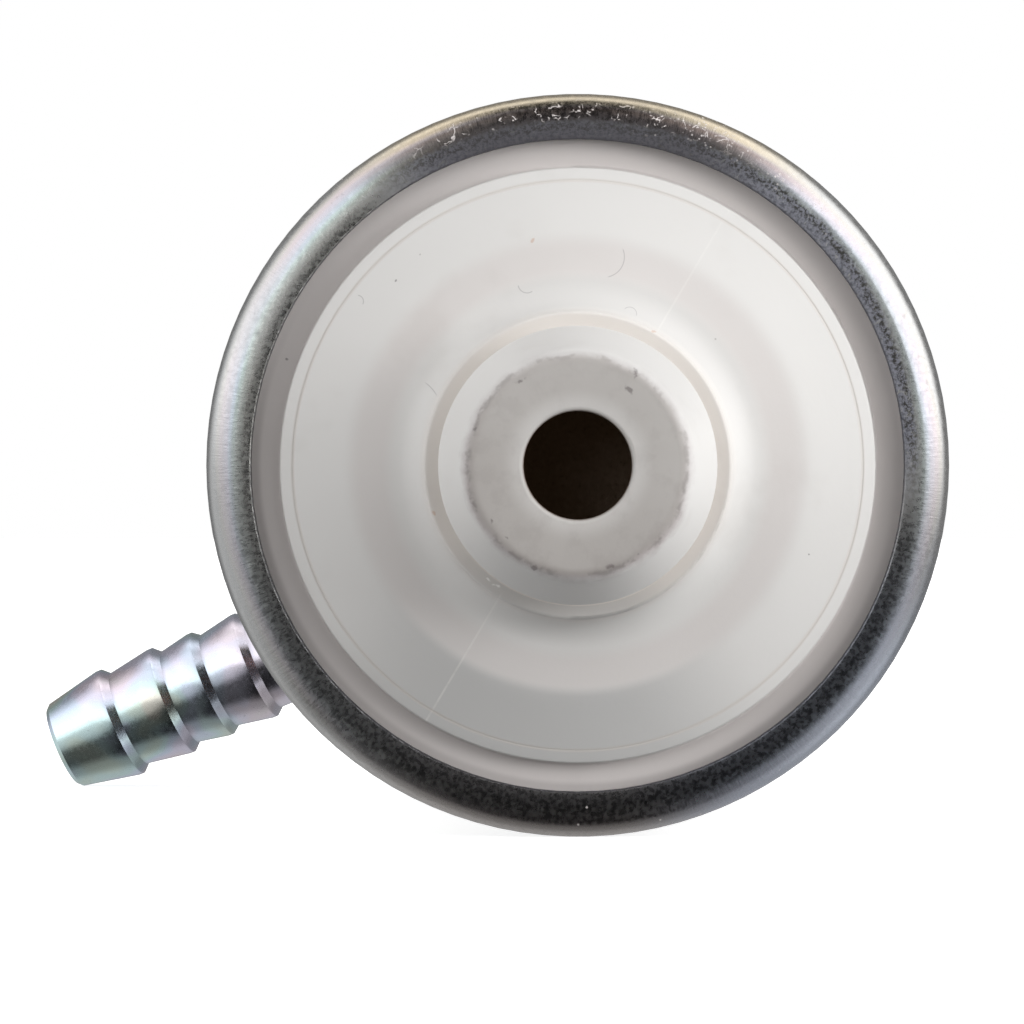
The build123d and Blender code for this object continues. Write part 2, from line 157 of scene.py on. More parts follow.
def smooth_seams(ob, limit=12.0, groove=None):
    """Where faces meet without a corner, both sides of the join get the same normal.
    A groove (radius, half width, slope of the cone round it) is shaded as a worn, rounded one."""
    me = ob.data
    nv, nl = len(me.vertices), len(me.loops)
    co = np.empty(nv * 3, np.float32)
    me.vertices.foreach_get("co", co)
    vi = np.empty(nl, np.int32)
    me.loops.foreach_get("vertex_index", vi)
    cn = np.empty(nl * 3, np.float32)
    me.corner_normals.foreach_get("vector", cn)
    normal = np.zeros((nv, 3))
    normal[vi] = cn.reshape(-1, 3)
    spots, group = np.unique(np.round(co.reshape(-1, 3) * 1e7).astype(np.int64), axis=0, return_inverse=True)
    group = group.ravel()
    order = np.argsort(group, kind="stable")
    cuts = np.flatnonzero(np.diff(group[order])) + 1
    made = normal.copy()
    near_ = math.cos(math.radians(limit))
    for members in np.split(order, cuts):
        if len(members) < 2:
            continue
        n_ = normal[members]
        w_ = (n_ @ n_.T) > near_
        total_ = w_ @ n_
        made[members] = total_ / np.maximum(np.linalg.norm(total_, axis=1, keepdims=True), 1e-9)
    if groove is not None:
        at, half, slope = groove
        p_ = co.reshape(-1, 3)
        rad_ = np.hypot(p_[:, 0], p_[:, 2])
        inside_ = (np.abs(rad_ - at) < half) & (p_[:, 1] < -0.0480)
        want = np.stack([p_[:, 0] / rad_ * slope, -np.ones(nv), p_[:, 2] / rad_ * slope], axis=1)
        want /= np.linalg.norm(want, axis=1, keepdims=True)
        worn = 0.28 * made + 0.72 * want
        worn /= np.linalg.norm(worn, axis=1, keepdims=True)
        made[inside_] = worn[inside_]
    me.normals_split_custom_set_from_vertices(made.tolist())


for name_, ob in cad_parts.items():
    smooth_seams(ob, groove=(0.0199, 0.00012, 0.4075) if name_ == "inlet_cover" else None)


# ------------------------------------------------------------------ white moulded plastic
def white_plastic():
    m, g, b = material("natural_plastic")
    vec, x, y, z = g.coords()
    r, a = g.polar(x, z)
    cloud = g.noise(vec, 90.0, 2.0, 0.6)
    base = g.mix(cloud, (0.800, 0.782, 0.760), (0.850, 0.838, 0.820))
    # painted warm shade on the shoulder under the barb and in the hub's hollow
    under = g.math("MULTIPLY", g.ramp(y, -0.0590, -0.0556), g.ramp(r, 0.0112, 0.0102))
    base = g.mix(g.math("MULTIPLY", under, 0.40), base, (0.78, 0.69, 0.61))
    hollow = g.math("MULTIPLY", g.ramp(r, 0.0126, 0.0138), g.ramp(r, 0.0165, 0.0150))
    base = g.mix(g.math("MULTIPLY", hollow, 0.30), base, (0.70, 0.62, 0.60))
    fine = g.noise(vec, 2600.0, 2.0, 0.5)
    # handling grime, in clouds
    grime = g.ramp(g.noise(vec, 160.0, 3.0, 0.65), 0.56, 0.78)
    base = g.mix(g.math("MULTIPLY", grime, 0.10), base, (0.45, 0.40, 0.36))
    # dirty broken edge around the tip face, worst at the lower left
    ragged = g.noise(vec, 520.0, 4.0, 0.65)
    edge = g.math("ADD", r, g.math("MULTIPLY", g.math("SUBTRACT", ragged, 0.5), 0.0009))
    side = g.ramp(g.math("ADD", g.math("MULTIPLY", x, -0.35), g.math("MULTIPLY", z, -0.9)), -0.007, 0.005, 0.42, 1.0)
    front = g.ramp(y, -0.0650, -0.0656)
    halo = g.math("MULTIPLY", g.ramp(edge, 0.00670, 0.00735), g.ramp(edge, 0.00815, 0.00750))
    halo = g.math("MULTIPLY", g.math("MULTIPLY", halo, side), front)
    base = g.mix(g.math("MULTIPLY", halo, 0.72), base, (0.42, 0.36, 0.36))
    band = g.math("MULTIPLY", g.ramp(edge, 0.00718, 0.00740), g.ramp(edge, 0.00775, 0.00746))
    patch = g.ramp(g.noise(vec, 700.0, 3.0, 0.65), 0.44, 0.58)
    band = g.math("MULTIPLY", g.math("MULTIPLY", band, side), g.math("MULTIPLY", patch, front))
    base = g.mix(g.math("MULTIPLY", band, 0.85), base, (0.15, 0.12, 0.12))
    # the tip face is darker than the rest; the paler ring round the bore is painted light, as if shining through the
    # plastic
    tip = g.math("MULTIPLY", g.ramp(y, -0.0664, -0.0668), g.ramp(edge, 0.0078, 0.0072))
    tip = g.math("MULTIPLY", tip, g.ramp(r, 0.0040, 0.0054, 0.60, 1.0))
    base = g.mix(g.math("MULTIPLY", tip, 0.78), base, (0.478, 0.449, 0.424))
    # smears on the tip face, and a darker tone low on it
    smear = g.math("MULTIPLY", g.math("MULTIPLY", tip, side), g.ramp(ragged, 0.46, 0.64))
    base = g.mix(g.math("MULTIPLY", smear, 0.28), base, (0.37, 0.34, 0.325))
    base = g.mix(g.math("MULTIPLY", g.math("MULTIPLY", tip, g.ramp(side, 0.62, 1.0)), 0.40), base, (0.395, 0.366, 0.344))
    # the flange under the lip is painted darker and warmer, as painted shade in the recess under the lip
    flange = g.ramp(r, 0.02074, 0.02086)
    base = g.mix(g.math("MULTIPLY", flange, 0.85), base, (0.73, 0.682, 0.664))
    # painted shade low on the cover, weaker on the barb, and painted shade on the upper side of the barb and its
    # collar, dimming their lit side
    down_ = g.math("DIVIDE", g.math("ADD", g.math("MULTIPLY", x, -0.17), g.math("MULTIPLY", z, -0.985)), r)
    up_ = g.math("DIVIDE", g.math("ADD", g.math("MULTIPLY", x, 0.34), g.math("MULTIPLY", z, 0.94)), r)
    broad = g.math("MULTIPLY", g.ramp(r, 0.0153, 0.0162), g.ramp(r, 0.0208, 0.0207))
    on_barb = g.math("MULTIPLY", g.ramp(r, 0.0074, 0.0077), g.ramp(r, 0.0097, 0.0095))
    shoulder = g.math("MULTIPLY", g.math("MULTIPLY", g.ramp(r, 0.0097, 0.0098), g.ramp(r, 0.0108, 0.0106)), 0.9)
    collar = g.math("MULTIPLY", g.math("MULTIPLY", g.ramp(r, 0.0108, 0.0112), g.ramp(r, 0.0136, 0.0128)), 0.6)
    low_shade = g.math("MULTIPLY", g.ramp(down_, 0.60, 0.98), g.math("ADD", g.math("MAXIMUM", broad, shoulder), g.math("MULTIPLY", on_barb, 0.45)))
    base = g.mix(g.math("MULTIPLY", low_shade, 0.60), base, (0.50, 0.50, 0.495))
    high_shade = g.math("MULTIPLY", g.ramp(up_, 0.45, 0.90), g.math("MAXIMUM", on_barb, collar))
    base = g.mix(g.math("MULTIPLY", high_shade, 0.30), base, (0.52, 0.51, 0.50))
    # painted shade under the lip, least at the top and upper right
    ring = g.math("MULTIPLY", g.ramp(r, 0.0220, 0.0225), g.ramp(up_, 0.35, -0.35))
    base = g.mix(g.math("MULTIPLY", ring, 0.42), base, (0.36, 0.33, 0.32))
    # sparse specks
    dots = g.voronoi(vec, 330.0)
    keep = g.ramp(g.noise(vec, 75.0, 2.0), 0.58, 0.62)
    speck = g.math("MULTIPLY", g.ramp(dots, 0.045, 0.02), keep)
    base = g.mix(g.math("MULTIPLY", speck, 0.7), base, (0.16, 0.13, 0.11))
    # mould parting line across the cover, with a scrap of flash where it meets the barb
    ang = math.radians(59.3)
    off = g.math("ABSOLUTE", g.math("SUBTRACT", g.math("MULTIPLY", x, math.sin(ang)), g.math("MULTIPLY", z, math.cos(ang))))
    off = g.math("ADD", off, g.math("MULTIPLY", g.math("SUBTRACT", ragged, 0.5), 0.00006))
    line = g.ramp(off, 0.00011, 0.00003)
    line = g.math("MULTIPLY", line, g.ramp(r, 0.0100, 0.0112))
    line = g.math("MULTIPLY", line, g.ramp(r, 0.0209, 0.0207))
    line = g.math("MULTIPLY", line, g.ramp(ragged, 0.40, 0.56, 0.30, 1.0))
    line = g.math("MULTIPLY", line, g.ramp(z, -0.004, 0.004, 1.0, 0.55))
    base = g.mix(g.math("MULTIPLY", line, 0.42), base, (0.95, 0.93, 0.90))
    # worn groove near the edge of the cone, faintly stained
    worn = g.ramp(g.math("ABSOLUTE", g.math("SUBTRACT", r, 0.0199)), 0.00019, 0.00005)
    base = g.mix(g.math("MULTIPLY", worn, 0.34), base, (0.70, 0.63, 0.57))

    # lint, scuffs and smudges lying on the face, placed in mm right of and above the pump axis
    X = g.math("MULTIPLY", x, 1000.0)
    Z = g.math("MULTIPLY", z, 1000.0)

    def near(cx_, cz_):
        u = g.math("SUBTRACT", X, cx_)
        v = g.math("SUBTRACT", Z, cz_)
        return u, v, g.math("SQRT", g.math("ADD", g.math("MULTIPLY", u, u), g.math("MULTIPLY", v, v)))

    def hair(cx_, cz_, rad, mid, half, wide):
        u, v, d = near(cx_, cz_)
        m_ = math.radians(mid)
        dot = g.math("DIVIDE", g.math("ADD", g.math("MULTIPLY", u, math.cos(m_)), g.math("MULTIPLY", v, math.sin(m_))), g.math("MAXIMUM", d, 0.001))
        on = g.ramp(g.math("ABSOLUTE", g.math("SUBTRACT", d, rad)), wide, wide * 0.3)
        return g.math("MULTIPLY", on, g.ramp(dot, math.cos(math.radians(half + 6)), math.cos(math.radians(half - 4))))

    hairs = [(-15.37, 11.43, 0.43, 28, 54, 0.05), (1.82, 14.51, 1.43, -28, 48, 0.05), (-3.52, 12.62, 0.63, -112, 56, 0.055),
             (-12.3, 3.4, 2.9, 42, 9, 0.05), (3.6, 10.5, 0.5, 60, 70, 0.035)]
    fluff = None
    for hh in hairs:
        one = hair(*hh)
        fluff = one if fluff is None else g.math("MAXIMUM", fluff, one)
    base = g.mix(g.math("MULTIPLY", fluff, 0.36), base, (0.22, 0.20, 0.21))

    def blot(cx_, cz_, size, squash, turn):
        """Spot of the given radius in mm, drawn out along the given direction."""
        n = g.node("ShaderNodeMapping", vector_type="TEXTURE")
        n.inputs["Location"].default_value = (cx_, cz_, 0.0)
        n.inputs["Rotation"].default_value = (0.0, 0.0, math.radians(turn))
        n.inputs["Scale"].default_value = (size, size / squash, 1.0)
        g.l.new(flat, n.inputs["Vector"])
        d = g.node("ShaderNodeVectorMath", operation="LENGTH")
        g.l.new(n.outputs[0], d.inputs[0])
        return d.outputs["Value"]

    def blots(items):
        """Nearest of several spots: 0 at a spot's middle, 1 on its rim."""
        nearest = None
        for it in items:
            one = blot(*it)
            nearest = one if nearest is None else g.math("MINIMUM", nearest, one)
        nearest = g.math("ADD", nearest, g.math("MULTIPLY", g.math("SUBTRACT", fine, 0.5), 3.2))
        return g.ramp(nearest, 1.15, 0.25)

    flat = g.combine(X, Z, 0.0)
    dark = blots([(3.95, 6.25, 0.34, 1.8, 110), (3.50, 5.20, 0.36, 1.7, 120), (-3.95, 5.75, 0.34, 2.0, 25),
                  (-7.00, 2.45, 0.16, 1.0, 0), (-5.85, -3.75, 0.16, 1.3, 120), (4.10, -6.05, 0.16, 1.4, 30),
                  (-4.9, -4.9, 0.20, 1.8, 135), (-2.9, -7.0, 0.30, 1.8, 160), (2.2, -6.9, 0.42, 3.0, 18),
                  (-11.0, 14.70, 0.09, 1.0, 0), (-12.68, 12.85, 0.10, 1.4, 60), (-20.35, 7.45, 0.10, 1.0, 0),
                  (0.1, 23.1, 0.10, 1.0, 0), (16.1, -6.2, 0.08, 1.0, 0), (21.6, 7.9, 0.09, 1.0, 0)])
    base = g.mix(g.math("MULTIPLY", dark, 0.62), base, (0.15, 0.125, 0.125))
    rust = blots([(-3.11, 15.72, 0.30, 2.6, 48), (5.30, 9.28, 0.20, 1.6, 20), (-9.95, -3.30, 0.22, 2.0, 110)])
    base = g.mix(g.math("MULTIPLY", rust, 0.50), base, (0.62, 0.40, 0.28))
    flash = blots([(-5.55, -8.35, 0.34, 3.2, -18), (-6.2, -7.9, 0.18, 2.2, -40)])
    base = g.mix(g.math("MULTIPLY", flash, 0.80), base, (0.98, 0.97, 0.95))
    # fuel-stained bore
    bore = g.math("MULTIPLY", g.ramp(r, 0.00392, 0.00376), g.ramp(y, -0.0670, -0.0666))
    inside = g.math("MULTIPLY", g.ramp(y, -0.0575, -0.0570), g.ramp(r, 0.0195, 0.0190))
    base = g.mix(bore, base, (0.100, 0.058, 0.032))
    g.l.new(base, b.inputs["Base Color"])
    rough = g.ramp(cloud, 0.3, 0.7, 0.40, 0.52)
    g.l.new(rough, b.inputs["Roughness"])
    b.inputs["IOR"].default_value = 1.48
    wave = g.noise(vec, 130.0, 2.0, 0.5)
    h = g.math("ADD", g.math("MULTIPLY", fine, 0.000006), g.math("MULTIPLY", wave, 0.00008))
    nb = g.bump(h, 1.0, 1.0)
    g.l.new(nb, b.inputs["Normal"])
    return m


# ------------------------------------------------------------------ zinc plated steel
def film_ramp(g, value, stops):
    n = g.node("ShaderNodeValToRGB")
    cr = n.color_ramp
    cr.interpolation = "EASE"
    while len(cr.elements) < len(stops):
        cr.elements.new(0.5)
    for el, (pos, col) in zip(cr.elements, stops):
        el.position = pos
        el.color = (*col, 1.0)
    g.put(n.inputs[0], value)
    return n.outputs[0]


eye = (-4.21, 64.5, -6.871)
back_, down__ = math.radians(8.0), math.radians(23.0)
TAIL = (-math.cos(back_) * math.cos(down__), math.sin(back_), -math.cos(back_) * math.sin(down__))
TAIL_START = sum(e_ * t_ for e_, t_ in zip(eye, TAIL))


def zinc(name, lip=False, rough=(0.20, 0.34), tone=1.0, tint=(0.15, 0.60), patch=46.0, cool=(1.0, 1.0, 1.0)):
    m, g, b = material(name)
    vec, x, y, z = g.coords()
    r, a = g.polar(x, z)
    # thin interference film of the chromate, in passing tints
    stops = [(0.00, (0.60, 0.58, 0.49)), (0.17, (0.54, 0.63, 0.54)), (0.33, (0.51, 0.65, 0.62)), (0.47, (0.54, 0.61, 0.69)),
             (0.62, (0.63, 0.60, 0.68)), (0.77, (0.67, 0.58, 0.61)), (0.90, (0.64, 0.60, 0.56)), (1.00, (0.61, 0.61, 0.60))]
    stops = [(p, tuple(c * tone * k for c, k in zip(col, cool))) for p, col in stops]
    drift = g.noise(vec, patch, 2.0, 0.45, 0.3)
    phase = g.ramp(drift, 0.28, 0.72, 0.0, 1.0, False)
    if lip:
        # across the rolled lip the tints follow the bend
        bend = g.math("DIVIDE", g.math("SUBTRACT", r, 0.02350), 0.00215)
        bend = g.math("ADD", bend, g.math("MULTIPLY", g.math("SUBTRACT", drift, 0.5), 0.9))
        on_lip = g.ramp(g.math("ABSOLUTE", y), 0.0470, 0.0486)
        phase = g.math("ADD", g.math("MULTIPLY", phase, g.math("SUBTRACT", 1.0, on_lip)), g.math("MULTIPLY", bend, on_lip))
    film = film_ramp(g, phase, stops)
    grey = (0.59 * tone * cool[0], 0.59 * tone * cool[1], 0.585 * tone * cool[2])
    amount = g.ramp(g.noise(vec, 60.0, 2.0, 0.5), 0.30, 0.60, 0.35 if lip else tint[0], 1.0 if lip else tint[1])
    if lip:
        # the film is strongest high on the lip, and faint along the casing
        amount = g.math("MULTIPLY", amount, g.ramp(g.math("DIVIDE", z, r), -0.75, 0.15, 0.30, 1.0))
        amount = g.math("MULTIPLY", amount, g.ramp(on_lip, 0.0, 1.0, 0.50, 1.0))
        amount = g.math("MULTIPLY", amount, g.ramp(r, 0.0238, 0.0246, 0.30, 1.0))
    base = g.mix(amount, grey, film)
    dull = None
    if lip:
        az_top = g.math("DIVIDE", z, r)
        front = g.ramp(g.math("ABSOLUTE", y), 0.0474, 0.0484)
        # brown tarnish low on the lip, deepened by a painted dark reflection, and gold high on its outer bend
        low = g.math("MULTIPLY", front, g.ramp(az_top, -0.70, -0.97))
        base = g.mix(g.math("MULTIPLY", low, 0.55), base, (0.34, 0.285, 0.265))
        high = g.math("MULTIPLY", front, g.ramp(az_top, 0.72, 0.93))
        base = g.mix(g.math("MULTIPLY", high, g.ramp(r, 0.0250, 0.0254, 0.0, 0.75)), base, (0.70, 0.58, 0.39))
        smoky = g.math("MULTIPLY", g.math("MULTIPLY", high, g.ramp(r, 0.0238, 0.0242)), g.ramp(r, 0.02535, 0.0249))
        base = g.mix(g.math("MULTIPLY", smoky, 0.85), base, (0.20, 0.155, 0.125))
        bluish = g.math("MULTIPLY", front, g.ramp(g.math("DIVIDE", g.math("SUBTRACT", x, z), r), 1.10, 1.38))
        base = g.mix(g.math("MULTIPLY", bluish, 0.65), base, (0.47, 0.53, 0.66))
        rightly = g.math("MULTIPLY", front, g.math("MULTIPLY", g.ramp(g.math("DIVIDE", x, r), 0.80, 0.98), 0.35))
        base = g.mix(rightly, base, (0.50, 0.49, 0.49))
        leftly = g.math("MULTIPLY", front, g.math("MULTIPLY", g.ramp(g.math("DIVIDE", x, r), -0.72, -0.96), g.ramp(r, 0.0243, 0.0248)))
        base = g.mix(g.math("MULTIPLY", leftly, 0.60), base, (0.42, 0.43, 0.44))
        # slate deposit along the inner edge of the lip
        patchy = g.noise(vec, 1500.0, 4.0, 0.65, 0.8)
        inner = g.math("ADD", r, g.math("MULTIPLY", g.math("SUBTRACT", patchy, 0.5), 0.0011))
        az_right = g.math("DIVIDE", x, r)
        # painted dark reflection on the inner part of the lip, low down and to the left
        lower = g.math("MULTIPLY", front, g.math("MULTIPLY", g.ramp(inner, 0.02475, 0.02375), g.ramp(az_top, 0.10, -0.60)))
        base = g.mix(g.math("MULTIPLY", lower, 0.72), base, (0.11, 0.11, 0.12))
        inner = g.math("ADD", inner, g.math("MULTIPLY", g.ramp(az_right, 0.70, 0.95), 0.00030))
        slate = g.math("MULTIPLY", front, g.ramp(inner, 0.02440, 0.02385))
        where = g.ramp(g.math("DIVIDE", g.math("ADD", g.math("MULTIPLY", x, 0.5), g.math("MULTIPLY", z, 0.866)), r), 0.28, 0.60)
        slate = g.math("MULTIPLY", slate, where)
        slate = g.math("MULTIPLY", slate, g.ramp(patchy, 0.24, 0.44))
        # white squiggles and grains of zinc salt on the top of the bend
        warp = g.node("ShaderNodeTexNoise")
        warp.inputs["Scale"].default_value = 1300.0
        warp.inputs["Detail"].default_value = 2.0
        g.put(warp.inputs["Vector"], vec)
        mixv = g.node("ShaderNodeVectorMath", operation="MULTIPLY_ADD")
        g.l.new(warp.outputs["Color"], mixv.inputs[0])
        mixv.inputs[1].default_value = (0.0009, 0.0009, 0.0009)
        g.l.new(vec, mixv.inputs[2])
        cells = g.voronoi(mixv.outputs[0], 1250.0, "DISTANCE_TO_EDGE")
        veins = g.ramp(cells, 0.060, 0.015)
        veins = g.math("MULTIPLY", veins, g.ramp(g.noise(vec, 1500.0, 2.0, 0.6), 0.50, 0.62))
        grains = g.ramp(g.voronoi(vec, 3300.0), 0.34, 0.16)
        grains = g.math("MULTIPLY", grains, g.ramp(g.noise(vec, 520.0, 3.0, 0.6), 0.50, 0.60))
        zone = g.math("MULTIPLY", g.ramp(r, 0.0239, 0.0244), g.ramp(r, 0.02575, 0.0253))
        zone = g.math("MULTIPLY", g.math("MULTIPLY", zone, front), g.ramp(az_top, 0.82, 0.97))
        zone = g.math("MULTIPLY", zone, g.ramp(r, 0.02545, 0.0250, 0.45, 1.0))
        zone_r = g.math("MULTIPLY", g.math("MULTIPLY", g.ramp(r, 0.0233, 0.0238), front), g.ramp(az_top, 0.55, 0.80))
        zone_r = g.math("MULTIPLY", zone_r, g.ramp(x, 0.001, 0.008))
        salt = g.math("MAXIMUM", g.math("MULTIPLY", veins, zone), g.math("MULTIPLY", grains, g.math("MULTIPLY", zone_r, 0.75)))
        few = g.math("MULTIPLY", g.ramp(g.voronoi(vec, 900.0), 0.10, 0.05), g.math("MULTIPLY", front, g.ramp(g.noise(vec, 210.0), 0.55, 0.60)))
        salt = g.math("MAXIMUM", salt, g.math("MULTIPLY", few, 0.7))
        dull = g.math("MAXIMUM", g.math("MULTIPLY", slate, 0.75), salt)
        gritty = g.noise(vec, 3600.0, 3.0, 0.75)
        tone2 = g.mix(g.ramp(gritty, 0.42, 0.60), (0.014, 0.012, 0.009), (0.23, 0.235, 0.28))
        deep = g.ramp(inner, 0.02330, 0.02360)
        tone2 = g.mix(deep, g.mix(g.ramp(gritty, 0.35, 0.60), (0.075, 0.08, 0.105), (0.26, 0.265, 0.31)), tone2)
        base = g.mix(g.math("MULTIPLY", slate, 0.95), base, tone2)
        topmost = g.math("MULTIPLY", front, g.math("MULTIPLY", g.ramp(inner, 0.02500, 0.02440), g.ramp(az_top, 0.78, 0.97)))
        base = g.mix(g.math("MULTIPLY", topmost, 0.74), base, (0.060, 0.055, 0.060))
        base = g.mix(salt, base, (0.88, 0.82, 0.80))
    # small dark freckles
    freck = g.noise(vec, 1500.0, 3.0, 0.65)
    base = g.mix(g.math("MULTIPLY", g.ramp(freck, 0.64, 0.74), 0.25), base, (0.28, 0.28, 0.29))
    if lip:
        # the sheared edge inside the lip is coarse and dark
        cut = g.ramp(r, 0.02290, 0.02282)
        base = g.mix(g.math("MULTIPLY", cut, 0.80), base, (0.10, 0.10, 0.115))
    if name == "zinc_fittings":
        # painted shade on the rear face behind each barb of the hose tail
        run = None
        for k_, v_ in ((x, TAIL[0]), (y, TAIL[1]), (z, TAIL[2])):
            one = g.math("MULTIPLY", k_, v_ * 1000.0)
            run = one if run is None else g.math("ADD", run, one)
        run = g.math("SUBTRACT", run, TAIL_START)
        behind = None
        for at_ in (36.01, 31.46, 27.96, 24.06):
            one = g.ramp(g.math("ABSOLUTE", g.math("SUBTRACT", run, at_ - 0.50)), 0.60, 0.15)
            behind = one if behind is None else g.math("MAXIMUM", behind, one)
        base = g.mix(g.math("MULTIPLY", behind, 0.30), base, (0.16, 0.165, 0.18))
    g.l.new(base, b.inputs["Base Color"])
    if dull is None:
        b.inputs["Metallic"].default_value = 1.0
    else:
        g.l.new(g.math("SUBTRACT", 1.0, dull), b.inputs["Metallic"])
    rgh = g.ramp(g.noise(vec, 3000.0, 3.0, 0.6), 0.3, 0.7, rough[0], rough[1])
    if lip:
        rgh = g.math("ADD", rgh, g.math("MULTIPLY", g.math("ADD", dull, cut), 0.25))
    g.l.new(rgh, b.inputs["Roughness"])
    peel = g.noise(vec, 2300.0, 2.0, 0.6)
    h = g.math("MULTIPLY", peel, 0.0000040)
    if lip:
        # orange peel of the drawn bend, drawn out along the bend
        k = g.math("DIVIDE", 0.026, g.math("MAXIMUM", r, 0.001))
        across = g.math("MULTIPLY", g.math("SUBTRACT", r, y), 0.32)
        vv = g.combine(g.math("MULTIPLY", x, k), across, g.math("MULTIPLY", z, k))
        grain = g.noise(vv, 5600.0, 2.0, 0.6)
        h = g.math("ADD", h, g.math("MULTIPLY", grain, 0.0000075))
        chips = g.math("MULTIPLY", cut, g.ramp(peel, 0.35, 0.65))
        h = g.math("ADD", h, g.math("MULTIPLY", chips, 0.00006))
    else:
        h = g.math("ADD", h, g.math("MULTIPLY", g.noise(vec, 5200.0, 2.0, 0.5), 0.0000016))
    nb = g.bump(h, 1.0, 1.0)
    g.l.new(nb, b.inputs["Normal"])
    return m


# ------------------------------------------------------------------ other finishes
def metal(name, colour, dark, rough=(0.25, 0.42), grain=None, scale=1600.0, depth=0.00001):
    m, g, b = material(name)
    vec, x, y, z = g.coords()
    n1 = g.noise(vec, 120.0, 4.0, 0.6)
    n2 = g.noise(vec, scale, 3.0, 0.6)
    base = g.mix(g.ramp(n1, 0.35, 0.68), colour, dark)
    base = g.mix(g.math("MULTIPLY", g.ramp(n2, 0.60, 0.72), 0.35), base, tuple(c * 0.45 for c in dark))
    g.l.new(base, b.inputs["Base Color"])
    b.inputs["Metallic"].default_value = 1.0
    g.l.new(g.ramp(n2, 0.3, 0.7, rough[0], rough[1]), b.inputs["Roughness"])
    h = g.math("MULTIPLY", n2, depth)
    if grain is not None:
        mp = g.node("ShaderNodeMapping")
        mp.inputs["Scale"].default_value = grain
        g.l.new(vec, mp.inputs["Vector"])
        h = g.math("ADD", h, g.math("MULTIPLY", g.noise(mp.outputs[0], 1.0, 3.0, 0.6), 0.000012))
    g.l.new(g.bump(h, 1.0, 1.0), b.inputs["Normal"])
    return m


def plastic(name, colour, worn, rough=(0.35, 0.5), scale=1800.0, depth=0.00002, ior=1.5):
    m, g, b = material(name)
    vec, x, y, z = g.coords()
    n1 = g.noise(vec, 140.0, 4.0, 0.6)
    n2 = g.noise(vec, scale, 3.0, 0.6)
    base = g.mix(g.ramp(n1, 0.42, 0.75), colour, worn)
    base = g.mix(g.math("MULTIPLY", g.ramp(n2, 0.62, 0.72), 0.3), base, tuple(min(1.0, c * 1.8 + 0.02) for c in worn))
    g.l.new(base, b.inputs["Base Color"])
    g.l.new(g.ramp(n2, 0.3, 0.7, rough[0], rough[1]), b.inputs["Roughness"])
    b.inputs["IOR"].default_value = ior
    g.l.new(g.bump(g.math("MULTIPLY", n2, depth), 1.0, 1.0), b.inputs["Normal"])
    return m


def laminated(name):
    """Stacked sheet steel: fine lines across the stack, along Y."""
    m, g, b = material(name)
    vec, x, y, z = g.coords()
    ph = g.math("MULTIPLY", y, 2 * math.pi / 0.0005)
    lines = g.ramp(g.math("SINE", ph), 0.55, 0.95)
    base = g.mix(g.noise(vec, 300.0), (0.40, 0.40, 0.42), (0.30, 0.27, 0.25))
    base = g.mix(g.math("MULTIPLY", lines, 0.6), base, (0.06, 0.055, 0.05))
    g.l.new(base, b.inputs["Base Color"])
    b.inputs["Metallic"].default_value = 1.0
    g.l.new(g.ramp(g.noise(vec, 900.0), 0.3, 0.7, 0.3, 0.5), b.inputs["Roughness"])
    g.l.new(g.bump(g.math("MULTIPLY", lines, -0.00003), 1.0, 1.0), b.inputs["Normal"])
    return m


def wound(name):
    """Enamelled wire wound round the core ends."""
    m, g, b = material(name)
    vec, x, y, z = g.coords()
    r, a = g.polar(x, z)
    s = g.math("ADD", g.math("MULTIPLY", r, 2 * math.pi / 0.0006), g.math("MULTIPLY", g.noise(vec, 220.0), 5.0))
    t = g.math("ADD", s, g.math("MULTIPLY", a, 8.0))
    w = g.math("SINE", t)
    base = g.mix(g.noise(vec, 500.0), (0.62, 0.25, 0.09), (0.42, 0.13, 0.05))
    base = g.mix(g.ramp(w, -0.2, -0.9), base, (0.06, 0.02, 0.01))
    g.l.new(base, b.inputs["Base Color"])
    b.inputs["Metallic"].default_value = 0.75
    g.l.new(g.ramp(g.noise(vec, 900.0), 0.3, 0.7, 0.28, 0.42), b.inputs["Roughness"])
    b.inputs["Coat Weight"].default_value = 0.4
    g.l.new(g.bump(g.math("MULTIPLY", w, 0.00008), 1.0, 1.0), b.inputs["Normal"])
    return m


white = white_plastic()
rim_zinc = zinc("zinc_casing", lip=True, tone=1.06)
part_zinc = zinc("zinc_fittings", rough=(0.20, 0.28), tone=1.32, tint=(0.70, 1.0), patch=150.0, cool=(0.99, 1.0, 1.06))
nut_zinc = zinc("zinc_nuts", rough=(0.20, 0.32), tone=1.05)
black = plastic("black_plastic", (0.018, 0.018, 0.019), (0.034, 0.033, 0.032), (0.38, 0.55))
rubber = plastic("seal_rubber", (0.010, 0.010, 0.010), (0.022, 0.021, 0.020), (0.55, 0.7), 2400.0)
copper = metal("copper", (0.80, 0.42, 0.26), (0.55, 0.27, 0.17), (0.22, 0.38), (300.0, 300.0, 300.0))
brass = metal("brass", (0.80, 0.62, 0.30), (0.60, 0.44, 0.20), (0.20, 0.34), (400.0, 2400.0, 400.0))
bronze = metal("bronze", (0.52, 0.36, 0.18), (0.32, 0.21, 0.11), (0.36, 0.55), None, 2600.0, 0.00003)
ground = metal("ground_steel", (0.60, 0.60, 0.61), (0.48, 0.48, 0.50), (0.16, 0.30), (300.0, 6000.0, 300.0))
sinter = metal("sintered_steel", (0.34, 0.335, 0.33), (0.24, 0.235, 0.23), (0.38, 0.55), None, 3200.0, 0.00003)
stained = metal("stained_plate", (0.30, 0.24, 0.19), (0.22, 0.17, 0.13), (0.40, 0.55), None, 3200.0, 0.00003)
for n_ in stained.node_tree.nodes:
    if n_.type == "BSDF_PRINCIPLED":
        # light that comes through the pale plastic round the bore
        n_.inputs["Emission Color"].default_value = (1.0, 0.56, 0.26, 1.0)
        n_.inputs["Emission Strength"].default_value = 0.0044
